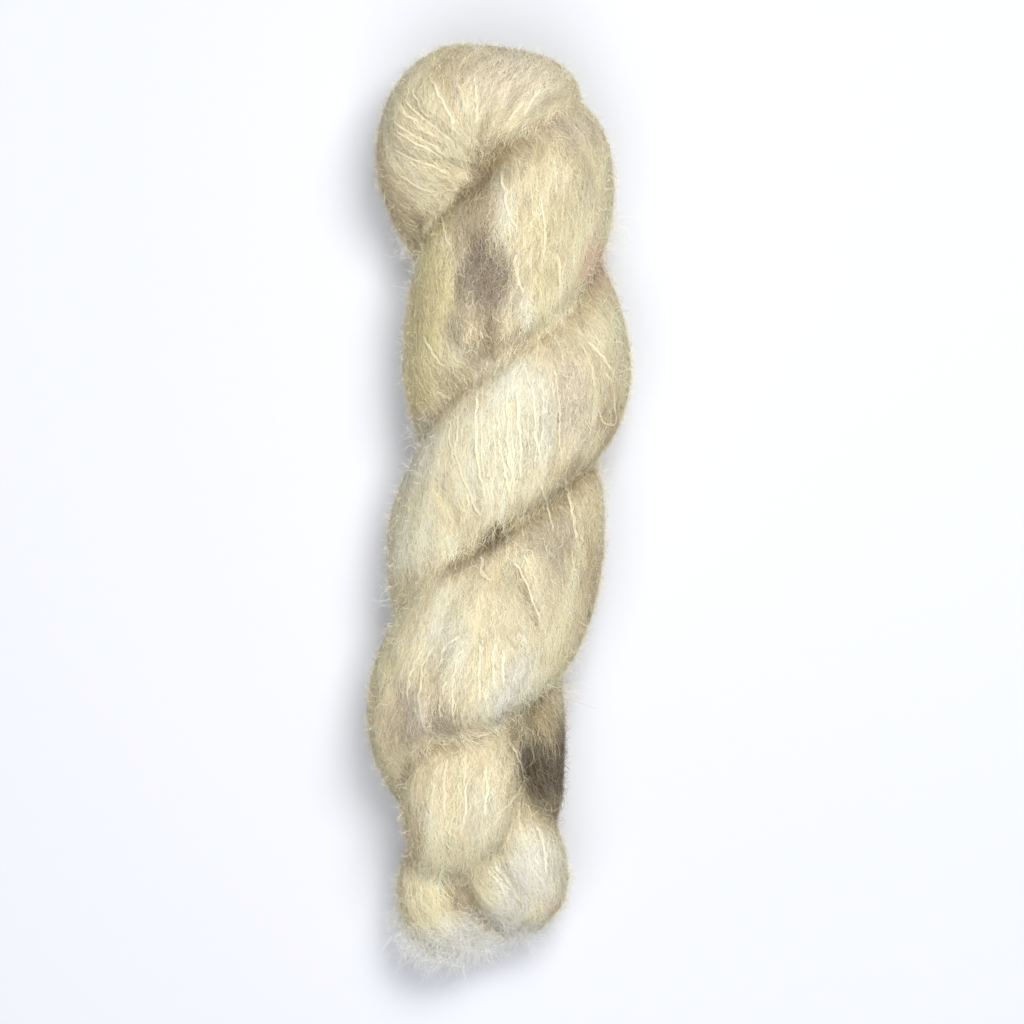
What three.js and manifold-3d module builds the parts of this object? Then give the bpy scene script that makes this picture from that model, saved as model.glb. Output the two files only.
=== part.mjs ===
// A hank of brushed mohair yarn, lying on its back on a flat surface.
//
// The yarn was wound into one long loop. The loop was twisted and folded in half, so that its two
// halves wrap round each other as the strands of a rope. The fold is a rounded arch at the head, and
// the looped ends are tucked through each other at the foot.
//
// Millimetres. +X is across the hank, +Y runs along it towards the fold and +Z is up, away from the
// surface that it lies on. Places along the hank are given as the distance down from the fold.

import * as THREE from "three";
import { LoftGeometry } from "three/addons/geometries/LoftGeometry.js";
import { mergeVertices } from "three/addons/utils/BufferGeometryUtils.js";
import Module from "manifold-3d";

const wasm = await Module();
wasm.setup();

// Driving dimensions of the hank.
const AXIS_HEIGHT = 27.5; // from the surface up to the middle of the rope
const FLATTENED = 0.86; // how far its own weight has pressed the rope down, 1 being round
const SQUARENESS = 2.35; // of a bundle's section, 2 being an ellipse
const AXIS_HEAD = 32; // where the rope's middle line starts and ends, down from the fold
const AXIS_FOOT = 238;
const DOME = [0.5, 0.85, 0.98]; // shares of a bundle's half section at which its end is rounded off
const BELOW = { wide: 400, long: 800, deep: 100 }; // what is cut away under the hank

// How finely the bundles are drawn.
const SIDES = 22;
const STEPS_PER_ROW = 5;

// Colour and finish of the brushed yarn.
const CREAM = 0xd9cdb0;
const YARN_ROUGHNESS = 0.95;

// Rows of numbers under named columns.
function table(columns, rows) {
  return rows.map((row) => Object.fromEntries(columns.map((name, i) => [name, row[i]])));
}

// The rope's middle wanders to the sides on its way down.
const AXIS = table(
  ["down", "across"],
  [
    [0, 0],
    [36, -0.6],
    [66, 3],
    [94, 5],
    [120, 4],
    [147, -1],
    [172, -3],
    [198, -8],
    [232, -6],
    [270, -5],
  ],
);

// The two strands of the rope. turn counts quarter turns: 0 is the right side, 1 the upper side, 2
// the left, 3 the underside and 4 the right again. reach is how far the strand's middle lies from
// the rope's, and wide and thick are half its section, along and away from the rope's surface.
const STRAND_COLUMNS = ["turn", "down", "reach", "wide", "thick"];

// This strand comes out from under the arch as the right shoulder, and crosses the upper side twice.
const SHOULDER_STRAND = table(STRAND_COLUMNS, [
  [-1.5, 17, 9, 15, 13],
  [-0.8, 21, 13.5, 19, 16],
  [0, 35.5, 17, 22.5, 18],
  [0.5, 48.5, 17, 23, 17.8],
  [1, 60.5, 17, 23, 17.5],
  [2, 90, 16, 20.5, 17],
  [3, 119, 16.5, 21, 17],
  [4, 145.5, 16, 20, 16],
  [5, 172, 17, 24, 17.5],
  [6, 196, 15.5, 20.5, 16],
  [7, 220, 13, 19, 15],
  [7.5, 237, 11, 15, 13],
  [7.7, 245, 9, 12, 11],
]);

// This one is the arch over the head, then the left lobe, and crosses the upper side once.
const ARCH_STRAND = table(STRAND_COLUMNS, [
  [-0.9, 22, 10, 10, 10],
  [-0.4, 16, 12, 12, 12],
  [0.35, 12.5, 11.5, 12, 13],
  [1.05, 12, 13, 15.5, 15.5],
  [1.55, 15.5, 17, 19.5, 17.5],
  [2, 28.5, 18.5, 19.5, 17.5],
  [3, 59.5, 16.5, 21.5, 17],
  [4, 91.5, 17, 21.5, 17],
  [5, 113.5, 16, 21, 17.5],
  [6, 145.5, 16, 19.5, 16.5],
  [7, 178, 16, 20.5, 16.5],
  [7.75, 206, 15.5, 15, 14],
  [7.7, 224, 14, 11, 12],
  [7.5, 240, 9, 10, 10],
]);

// The rope's hidden middle, and the tucked ends at the foot, which are bundles half as thick as a
// strand. across and height place a bundle's middle from the line and the surface that the hank lies
// on, and wide and thick are half its section, sideways and upwards.
const LAID_COLUMNS = ["across", "down", "height", "wide", "thick"];

const CORE = table(LAID_COLUMNS, [
  [-2, 30, 31, 13, 16],
  [3, 60, 27.5, 18.5, 16.5],
  [5, 95, 27.5, 18.5, 16.5],
  [-1, 147, 27.5, 18.5, 16.5],
  [-7, 200, 26, 18.5, 16.5],
  [-6, 231, 21, 16, 15],
  [-5, 249, 15, 17, 13],
]);

const TUCKED_ENDS = {
  upperLeg: table(LAID_COLUMNS, [
    [-4, 198, 34, 14, 11],
    [-9, 212, 37.5, 16.5, 13],
    [-11.5, 224, 37, 17, 14],
    [-14, 234, 33, 13.5, 12.5],
    [-15.5, 241, 29, 9, 9],
  ]),
  leftLobe: table(LAID_COLUMNS, [
    [-17, 238, 22, 9, 9],
    [-19.5, 248, 22, 10, 12],
    [-18, 256, 18, 10.5, 13],
    [-16, 260, 14, 9.5, 11],
  ]),
  rightLeg: table(LAID_COLUMNS, [
    [1, 210, 30, 5, 6],
    [4.5, 220, 31, 6, 9],
    [8, 229, 31, 8, 11],
    [10.5, 240, 28.5, 9.5, 13],
    [11, 247, 23, 9.5, 14],
    [9, 252, 15.5, 9, 12],
  ]),
  frontLobe: table(LAID_COLUMNS, [
    [-7, 229, 27, 5.5, 6],
    [-3, 238, 29.5, 8.5, 9.5],
    [0.5, 246.5, 27, 9.5, 10],
    [3.5, 253, 21, 8.5, 9],
  ]),
  footLink: table(LAID_COLUMNS, [
    [-15, 250, 13, 9, 12],
    [-6, 255.5, 11.5, 10, 12],
    [4, 253, 11.5, 10, 12],
    [10, 246, 13, 9, 12],
  ]),
};

// Smooth curves through a table's rows: three of its columns give a place, two give a half section.
function curveThrough(rows, names) {
  const points = rows.map((row) => new THREE.Vector3(...names.map((name) => row[name])));
  return new THREE.CatmullRomCurve3(points);
}

const axisCurve = curveThrough(
  AXIS.map((row) => ({ ...row, zero: 0 })),
  ["down", "across", "zero"],
);

// How far across the rope's middle lies at a distance down from the fold.
function axisAcross(down) {
  const last = AXIS.length - 1;
  let row = 0;
  while (row < last - 1 && AXIS[row + 1].down < down) row += 1;
  const share = (down - AXIS[row].down) / (AXIS[row + 1].down - AXIS[row].down);
  const clamped = THREE.MathUtils.clamp(share, 0, 1);
  return axisCurve.getPoint((row + clamped) / last).y;
}

// Where a strand's row lies, its turn and reach taken round the rope's middle.
function onRope({ x: turn, y: down, z: reach }) {
  const angle = (turn * Math.PI) / 2;
  return new THREE.Vector3(
    axisAcross(down) + reach * Math.cos(angle),
    -down,
    AXIS_HEIGHT + reach * FLATTENED * Math.sin(angle),
  );
}

// A strand faces out from the nearest point of the rope's middle line, rounding its two ends.
function outFromRope(place) {
  const down = THREE.MathUtils.clamp(-place.y, AXIS_HEAD, AXIS_FOOT);
  return place.clone().sub(new THREE.Vector3(axisAcross(down), -down, AXIS_HEIGHT));
}

// Where a laid bundle's row lies.
function asLaid({ x: across, y: down, z: height }) {
  return new THREE.Vector3(across, -down, height);
}

// A laid bundle faces straight up.
function straightUp() {
  return new THREE.Vector3(0, 0, 1);
}

const ROPE = { names: ["turn", "down", "reach"], toPlace: onRope, outward: outFromRope };
const LAID = { names: ["across", "down", "height"], toPlace: asLaid, outward: straightUp };

// A cosine or sine squared off towards a rounded rectangle.
function squared(value) {
  return Math.sign(value) * Math.abs(value) ** (2 / SQUARENESS);
}

// One ring of points round a bundle, square to its path, with its thickness along the outward way.
function ring({ place, along, outward, wide, thick }) {
  const out = outward.clone().addScaledVector(along, -outward.dot(along)).normalize();
  const sideways = along.clone().cross(out);
  const points = [];
  for (let i = 0; i < SIDES; i += 1) {
    const angle = (i / SIDES) * 2 * Math.PI;
    const point = place.clone();
    point.addScaledVector(out, squared(Math.cos(angle)) * thick);
    point.addScaledVector(sideways, squared(Math.sin(angle)) * wide);
    points.push(point);
  }
  return points;
}

// The rings that round off a bundle's end, way being -1 at its start and 1 at its finish.
function domedEnd(end, way) {
  const length = Math.min(end.wide, end.thick);
  return DOME.map((share) => {
    const narrowed = Math.sqrt(1 - share * share);
    const place = end.place.clone().addScaledVector(end.along, way * share * length);
    return { ...end, place, wide: end.wide * narrowed, thick: end.thick * narrowed };
  });
}

// A closed bundle of yarn along a table of rows.
function bundle(rows, kind) {
  const path = curveThrough(rows, kind.names);
  const section = curveThrough(
    rows.map((row) => ({ ...row, zero: 0 })),
    ["wide", "thick", "zero"],
  );
  const steps = (rows.length - 1) * STEPS_PER_ROW;
  const places = [];
  for (let i = 0; i <= steps; i += 1) places.push(kind.toPlace(path.getPoint(i / steps)));
  const rings = places.map((place, i) => {
    const before = places[Math.max(i - 1, 0)];
    const after = places[Math.min(i + 1, steps)];
    const along = after.clone().sub(before).normalize();
    const outward = kind.outward(place).normalize();
    const half = section.getPoint(i / steps);
    const pressed = kind === ROPE ? THREE.MathUtils.lerp(1, FLATTENED, Math.abs(outward.z)) : 1;
    return { place, along, outward, wide: half.x, thick: half.y * pressed };
  });
  const all = [...domedEnd(rings[0], -1).reverse(), ...rings, ...domedEnd(rings[steps], 1)];
  return new LoftGeometry(all.map(ring), { capStart: true, capEnd: true });
}

// A closed geometry as a solid that can be joined and cut.
function solid(geometry) {
  const bare = new THREE.BufferGeometry();
  bare.setAttribute("position", geometry.attributes.position);
  bare.setIndex(geometry.index);
  const merged = mergeVertices(bare);
  const mesh = new wasm.Mesh({
    numProp: 3,
    vertProperties: new Float32Array(merged.attributes.position.array),
    triVerts: new Uint32Array(merged.index.array),
  });
  return new wasm.Manifold(mesh);
}

// The joined and cut solid as a geometry again.
function geometryOf(manifold) {
  const mesh = manifold.getMesh();
  const geometry = new THREE.BufferGeometry();
  geometry.setAttribute("position", new THREE.BufferAttribute(mesh.vertProperties, 3));
  geometry.setIndex(new THREE.BufferAttribute(mesh.triVerts, 1));
  return geometry;
}

// The whole hank: core, strands and tucked ends joined, then pressed flat on the surface below.
function hankGeometry() {
  let joined = solid(bundle(CORE, LAID));
  joined = joined.add(solid(bundle(SHOULDER_STRAND, ROPE)));
  joined = joined.add(solid(bundle(ARCH_STRAND, ROPE)));
  for (const rows of Object.values(TUCKED_ENDS)) joined = joined.add(solid(bundle(rows, LAID)));
  const below = new THREE.BoxGeometry(BELOW.wide, BELOW.long, BELOW.deep);
  below.translate(0, 0, -BELOW.deep / 2);
  const geometry = geometryOf(joined.subtract(solid(below)));
  geometry.computeBoundingBox();
  const middle = geometry.boundingBox.getCenter(new THREE.Vector3());
  geometry.translate(-middle.x, -middle.y, 0);
  return geometry;
}

const yarn = new THREE.MeshStandardMaterial({ color: CREAM, roughness: YARN_ROUGHNESS, metalness: 0 });
const hank = new THREE.Mesh(hankGeometry(), yarn);
hank.name = "hank";

const group = new THREE.Group();
group.add(hank);

export default group;
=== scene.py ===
# A hank of brushed mohair yarn, lying on a pale floor. The yarn is one long loop that was twisted
# and folded in half, so that its two strands wrap round each other as in a rope.
#
# Lengths are in millimetres until a mesh is made. +X is across the hank, +Y runs along it to the
# fold and +Z is up. Places along the hank are told as distances down from the fold.
import math

import bpy
import numpy as np
from mathutils.bvhtree import BVHTree
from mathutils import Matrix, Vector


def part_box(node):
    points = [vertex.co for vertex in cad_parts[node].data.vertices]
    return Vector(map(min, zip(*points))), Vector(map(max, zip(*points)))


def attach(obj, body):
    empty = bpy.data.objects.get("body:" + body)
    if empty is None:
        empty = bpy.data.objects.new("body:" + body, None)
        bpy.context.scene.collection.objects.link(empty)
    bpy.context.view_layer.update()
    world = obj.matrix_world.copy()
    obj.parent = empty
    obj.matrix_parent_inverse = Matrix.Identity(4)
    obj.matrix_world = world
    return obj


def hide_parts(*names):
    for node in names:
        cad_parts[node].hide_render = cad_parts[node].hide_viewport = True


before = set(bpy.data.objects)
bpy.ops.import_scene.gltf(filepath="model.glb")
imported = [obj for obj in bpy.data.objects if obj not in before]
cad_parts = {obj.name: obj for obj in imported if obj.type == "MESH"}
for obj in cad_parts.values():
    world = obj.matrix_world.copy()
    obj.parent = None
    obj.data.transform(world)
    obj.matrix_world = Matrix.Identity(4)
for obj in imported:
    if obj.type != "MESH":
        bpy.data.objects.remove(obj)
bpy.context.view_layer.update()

# The skein's body is hundreds of turns of yarn that hold each other as one soft mass. It is laid
# as the two strands of the rope and the tucked ends, which are joined, eased where they press on
# each other, and pressed flat on the floor.
MM = 0.001
AXIS_HEIGHT = 27.5  # from the floor up to the middle of the rope
FLATTENED = 0.86  # how far its own weight has pressed the rope down, 1 being round
SQUARENESS = 2.35  # of a bundle's section, 2 being an ellipse
AXIS_HEAD = 32  # where the rope's middle line starts and ends
AXIS_FOOT = 238
DOME = (0.25, 0.5, 0.7, 0.85, 0.95, 0.99)  # shares of a half section that round off an end
SIDES = 64  # points round a bundle
STEPS_PER_ROW = 12  # rings between one row of a table and the next
VOXEL = 1.5  # the size of the joined body's faces
EASED = 10  # rounds of smoothing where the bundles meet

# The rope's middle line. Columns: down, across.
AXIS = np.array([
    [0, 0], [36, -0.6], [66, 3], [94, 5], [120, 4],
    [147, -1], [172, -3], [198, -8], [232, -6], [270, -5],
], float)

# A strand's turn counts quarter turns: 0 is the right side, 1 the upper side, 2 the left and 3 the
# underside. Columns: turn, down, reach from the middle line, half width, half thickness, and lean,
# the angle in degrees at which the yarn crosses the strand.
SHOULDER_STRAND = [
    [-1.5, 17, 9, 15, 13, 40],
    [-0.8, 21, 13.5, 19, 16, 44],
    [0, 35.5, 17, 22.5, 18, 48],
    [0.5, 48.5, 17, 23, 17.8, 48],
    [1, 60.5, 17, 23, 17.5, 48],
    [2, 90, 16, 20.5, 17, 45],
    [3, 119, 16.5, 21, 17, 45],
    [4, 145.5, 16, 20, 16, 46],
    [5, 172, 17, 24, 17.5, 48],
    [6, 196, 15.5, 20.5, 16, 48],
    [7, 220, 13, 19, 15, 40],
    [7.5, 237, 11, 15, 13, 30],
    [7.7, 245, 9, 12, 11, 20],
]
ARCH_STRAND = [
    [-0.9, 22, 10, 10, 10, 40],
    [-0.4, 16, 12, 12, 12, 45],
    [0.35, 12.5, 11.5, 12, 13, 52],
    [1.05, 12, 13, 15.5, 15.5, 60],
    [1.55, 15.5, 17, 19.5, 17.5, 70],
    [2, 28.5, 18.5, 19.5, 17.5, 56],
    [3, 59.5, 16.5, 21.5, 17, 46],
    [4, 91.5, 17, 21.5, 17, 46],
    [5, 113.5, 16, 21, 17.5, 46],
    [6, 145.5, 16, 19.5, 16.5, 45],
    [7, 178, 16, 20.5, 16.5, 45],
    [7.75, 206, 15.5, 15, 14, 40],
    [7.7, 224, 14, 11, 12, 30],
    [7.5, 240, 9, 10, 10, 20],
]
# A tucked end's columns: across, down, height, half width, half thickness, and lean.
TUCKED_ENDS = [
    [  # the leg on top
        [-4, 198, 34, 14, 11, 0],
        [-9, 212, 37.5, 16.5, 13, 4],
        [-11.5, 224, 37, 17, 14, 4],
        [-14, 234, 33, 13.5, 12.5, 0],
        [-15.5, 241, 29, 9, 9, 0],
    ],
    [  # the lobe at the left
        [-17, 238, 22, 9, 9, 20],
        [-19.5, 248, 22, 10, 12, 24],
        [-18, 256, 18, 10.5, 13, 24],
        [-16, 260, 14, 9.5, 11, 20],
    ],
    [  # the leg down the right side
        [1, 210, 30, 5, 6, 0],
        [4.5, 220, 31, 6, 9, 4],
        [8, 229, 31, 8, 11, 8],
        [10.5, 240, 28.5, 9.5, 13, 10],
        [11, 247, 23, 9.5, 14, 10],
        [9, 252, 15.5, 9, 12, 10],
    ],
    [  # the lobe in front
        [-7, 229, 27, 5.5, 6, 0],
        [-3, 238, 29.5, 8.5, 9.5, 10],
        [0.5, 246.5, 27, 9.5, 10, 16],
        [3.5, 253, 21, 8.5, 9, 16],
    ],
    [  # the link under both lobes
        [-15, 250, 13, 9, 12, 0],
        [-6, 255.5, 11.5, 10, 12, 0],
        [4, 253, 11.5, 10, 12, 0],
        [10, 246, 13, 9, 12, 0],
    ],
]
# The core fills the rope's middle, under the strands. Its columns are those of a tucked end.
CORE = [
    [-2, 30, 31, 13, 16, 0],
    [3, 60, 27.5, 18.5, 16.5, 0],
    [5, 95, 27.5, 18.5, 16.5, 0],
    [-1, 147, 27.5, 18.5, 16.5, 0],
    [-7, 200, 26, 18.5, 16.5, 0],
    [-6, 231, 21, 16, 15, 0],
    [-5, 249, 15, 17, 13, 0],
]


def unit(ways):
    """Directions with a length of 1."""
    return ways / np.maximum(np.linalg.norm(ways, axis=-1, keepdims=True), 1e-9)


def smooth_through(rows, steps):
    """A smooth curve through a table's rows, with as many steps between each row and the next."""
    points = np.vstack([2 * rows[0] - rows[1], rows, 2 * rows[-1] - rows[-2]])
    gap = np.linalg.norm(np.diff(points, axis=0), axis=1)[:, None] ** 0.5
    before, start, end, after = points[:-3], points[1:-2], points[2:-1], points[3:]
    here = np.where(gap[1:-1] < 1e-4, 1, gap[1:-1])
    near, far = [np.where(side < 1e-4, here, side) for side in (gap[:-2], gap[2:])]
    leave = ((start - before) / near - (end - before) / (near + here) + (end - start) / here) * here
    reach = ((end - start) / here - (after - start) / (here + far) + (after - end) / far) * here
    bend = 3 * (end - start) - 2 * leave - reach
    turn = 2 * (start - end) + leave + reach
    share = np.linspace(0, 1, steps, endpoint=False)[None, :, None]
    curve = start[:, None] + share * (leave[:, None] + share * (bend[:, None] + share * turn[:, None]))
    return np.vstack([curve.reshape(-1, rows.shape[1]), rows[-1:]])


axis_curve = smooth_through(np.pad(AXIS, ((0, 0), (0, 1))), STEPS_PER_ROW)[:, 1]


def rope_across(down):
    """How far across the rope's middle line lies."""
    row = np.interp(down, AXIS[:, 0], np.arange(len(AXIS)))
    return np.interp(row * STEPS_PER_ROW, np.arange(len(axis_curve)), axis_curve)


def strand_course(turn, down, reach):
    """A strand's places, and the ways that face out from the rope's middle line there."""
    angle = turn * math.pi / 2
    height = AXIS_HEIGHT + reach * FLATTENED * np.sin(angle)
    places = np.stack([rope_across(down) + reach * np.cos(angle), -down, height], axis=1)
    held = np.clip(down, AXIS_HEAD, AXIS_FOOT)
    middle = np.stack([rope_across(held), -held, np.full_like(held, AXIS_HEIGHT)], axis=1)
    return places, unit(places - middle)


def laid_course(across, down, height):
    """A laid bundle's places, and the ways that face up from them."""
    places = np.stack([across, -down, height], axis=1)
    return places, np.tile([0.0, 0.0, 1.0], (len(places), 1))


def squared(value):
    """A cosine or sine squared off towards a rounded rectangle."""
    return np.sign(value) * np.abs(value) ** (2 / SQUARENESS)


def bundle(rows, is_strand):
    """The rings round a bundle of yarn, how far each point lies along the bundle and round it from
    its outer side, and the way that the yarn runs there."""
    rows = np.array(rows, float)
    course = smooth_through(rows[:, :3], STEPS_PER_ROW)
    half = smooth_through(np.pad(rows[:, 3:5], ((0, 0), (0, 1))), STEPS_PER_ROW)
    row = np.arange(len(course)) / STEPS_PER_ROW
    lean = np.radians(np.interp(row, np.arange(len(rows)), rows[:, 5]))
    places, outward = strand_course(*course.T) if is_strand else laid_course(*course.T)
    along = unit(np.gradient(places, axis=0))
    pressed = 1 + (FLATTENED - 1) * np.abs(outward[:, 2]) if is_strand else 1
    wide, thick = half[:, 0], half[:, 1] * pressed

    dome = np.array(DOME)
    narrowed = np.sqrt(1 - dome**2)
    head, foot = min(wide[0], thick[0]), min(wide[-1], thick[-1])
    places = np.vstack([
        places[0] - along[0] * dome[::-1, None] * head, places,
        places[-1] + along[-1] * dome[:, None] * foot,
    ])
    wide = np.hstack([wide[0] * narrowed[::-1], wide, wide[-1] * narrowed])
    thick = np.hstack([thick[0] * narrowed[::-1], thick, thick[-1] * narrowed])
    kept = np.clip(np.arange(len(places)) - len(dome), 0, len(along) - 1)
    along, outward, lean = along[kept], outward[kept], lean[kept]

    out = unit(outward - along * (outward * along).sum(1, keepdims=True))
    sideways = np.cross(along, out)
    angle = np.arange(SIDES) * 2 * math.pi / SIDES
    rings = (places[:, None]
             + out[:, None] * (squared(np.cos(angle)) * thick[:, None])[..., None]
             + sideways[:, None] * (squared(np.sin(angle)) * wide[:, None])[..., None])

    travel = np.r_[0, np.cumsum(np.linalg.norm(np.diff(places, axis=0), axis=1))]
    edge = np.linalg.norm(np.roll(rings, -1, axis=1) - rings, axis=2)
    round_it = np.cumsum(edge, axis=1) - edge
    round_it = np.where(np.arange(SIDES) > SIDES / 2, round_it - edge.sum(1, keepdims=True), round_it)
    drift = np.r_[0, np.cumsum(np.tan((lean[1:] + lean[:-1]) / 2) * np.diff(travel))]
    onward = unit(np.gradient(rings, axis=0))
    aside = unit(np.roll(rings, -1, axis=1) - np.roll(rings, 1, axis=1))
    lean = lean[:, None, None]
    runs = unit(onward * np.cos(lean) - aside * np.sin(lean))
    return {"rings": rings, "along": np.repeat(travel[:, None], SIDES, 1), "drift": drift,
            "across": round_it + drift[:, None], "edge": edge, "runs": runs}


bundles = [bundle(SHOULDER_STRAND, True), bundle(ARCH_STRAND, True)]
bundles += [bundle(rows, False) for rows in TUCKED_ENDS]
core = bundle(CORE, False)

# The hank's box is centred on the origin, as seen from above.
laid = np.vstack([b["rings"].reshape(-1, 3) for b in [*bundles, core]])
laid = laid[laid[:, 2] > 0]
middle = (laid.min(0) + laid.max(0)) / 2 * [1, 1, 0]
for b in [*bundles, core]:
    b["rings"] = b["rings"] - middle


def ring_faces(rings, first):
    """The four-sided faces between a bundle's rings, its points counted from the first."""
    i, j = np.meshgrid(np.arange(rings - 1), np.arange(SIDES), indexing="ij")
    after = (j + 1) % SIDES
    corners = [i * SIDES + j, i * SIDES + after, (i + 1) * SIDES + after, (i + 1) * SIDES + j]
    return np.stack(corners, axis=-1).reshape(-1, 4) + first


def joined_body():
    """All bundles joined as one even mesh: its points and its faces."""
    points, faces = [], []
    for b in [*bundles, core]:
        first = sum(len(p) for p in points)
        rings = len(b["rings"])
        points.append(b["rings"].reshape(-1, 3))
        faces += ring_faces(rings, first).tolist()
        faces.append([first + j for j in reversed(range(SIDES))])
        faces.append([first + (rings - 1) * SIDES + j for j in range(SIDES)])
    mesh = bpy.data.meshes.new("laid_bundles")
    mesh.from_pydata(np.vstack(points).tolist(), [], faces)
    piece = bpy.data.objects.new("laid_bundles", mesh)
    bpy.context.scene.collection.objects.link(piece)
    join = piece.modifiers.new("join", "REMESH")
    join.mode = "VOXEL"
    join.voxel_size = VOXEL
    ease = piece.modifiers.new("ease", "SMOOTH")
    ease.factor = 0.5
    ease.iterations = EASED
    made = bpy.data.meshes.new_from_object(piece.evaluated_get(bpy.context.evaluated_depsgraph_get()))
    points = np.zeros(len(made.vertices) * 3, np.float32)
    made.vertices.foreach_get("co", points)
    faces = np.zeros(len(made.loops), np.int32)
    made.loops.foreach_get("vertex_index", faces)
    bpy.data.objects.remove(piece)
    return points.reshape(-1, 3).astype(float), faces.reshape(-1, 4)


points, faces = joined_body()

# Each point of the body takes the lay of the yarn from the nearest bundle.
lay_points = np.vstack([b["rings"].reshape(-1, 3) for b in bundles])
lay_first = np.cumsum([0] + [b["rings"].shape[0] * SIDES for b in bundles])
lay_faces = np.vstack([ring_faces(len(b["rings"]), first) for b, first in zip(bundles, lay_first)])
lay_tree = BVHTree.FromPolygons(lay_points.tolist(), lay_faces.tolist())
lay_along = np.hstack([b["along"].ravel() for b in bundles])
lay_across = np.hstack([b["across"].ravel() for b in bundles])
lay_drift = np.hstack([np.repeat(b["drift"], SIDES) for b in bundles])
lay_edge = np.hstack([b["edge"].ravel() for b in bundles])
lay_runs = np.vstack([b["runs"].reshape(-1, 3) for b in bundles])


def nearest(tree, places):
    """The nearest places on a surface, and the faces that they lie on."""
    found = [tree.find_nearest(place) for place in places.tolist()]
    return np.array([f[0] for f in found]), np.array([f[2] for f in found])


def lay_at(places):
    """How far across and along the lie of the yarn each place is, and the way the yarn runs."""
    spots, face = nearest(lay_tree, places)
    corner, round_next, _, along_next = lay_faces[face].T
    from_corner = spots - lay_points[corner]

    def share(other):
        edge = lay_points[other] - lay_points[corner]
        return (from_corner * edge).sum(1) / np.maximum((edge * edge).sum(1), 1e-9)

    s, a = share(along_next), share(round_next)
    across = lay_across[corner] + a * lay_edge[corner]
    across += s * (lay_drift[along_next] - lay_drift[corner])
    along = lay_along[corner] + s * (lay_along[along_next] - lay_along[corner])
    return across, along, lay_runs[corner]


def spread(values, rounds):
    """Values of the body's points, evened out with their neighbours'."""
    a, b = np.vstack([faces[:, [k, (k + 1) % 4]] for k in range(4)]).T
    count = np.bincount(a, minlength=len(points))[:, None]
    for _ in range(rounds):
        total = np.stack([np.bincount(a, v[b], minlength=len(points)) for v in values.T], axis=1)
        values = total / count
    return values


def point_normals():
    """The ways that face out from the body's points."""
    p = points[faces]
    facing = np.cross(p[:, 2] - p[:, 0], p[:, 3] - p[:, 1])
    corners = faces.ravel()
    total = [np.bincount(corners, np.repeat(part, 4), minlength=len(points)) for part in facing.T]
    return unit(np.stack(total, axis=1))


def streaks(across, along, fine, long, seed):
    """Soft random values from 0 to 1, in streaks of that width and length down the yarn."""
    lattice = np.random.default_rng(seed).random((256, 256))
    x, y = across / fine + 1000, along / long + 1000
    i, j = np.floor(x).astype(int), np.floor(y).astype(int)
    u, v = x - i, y - j
    u, v = u * u * (3 - 2 * u), v * v * (3 - 2 * v)

    def at(di, dj):
        return lattice[(i + di) % 256, (j + dj) % 256]

    low, high = at(0, 0) * (1 - u) + at(1, 0) * u, at(0, 1) * (1 - u) + at(1, 1) * u
    return low * (1 - v) + high * v


TOP_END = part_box("hank")[1].y / MM  # where the hank's head lies


def from_head(places):
    """Places as seen from above: across, and down from the head's end."""
    return places[:, 0], TOP_END - places[:, 1]


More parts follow.
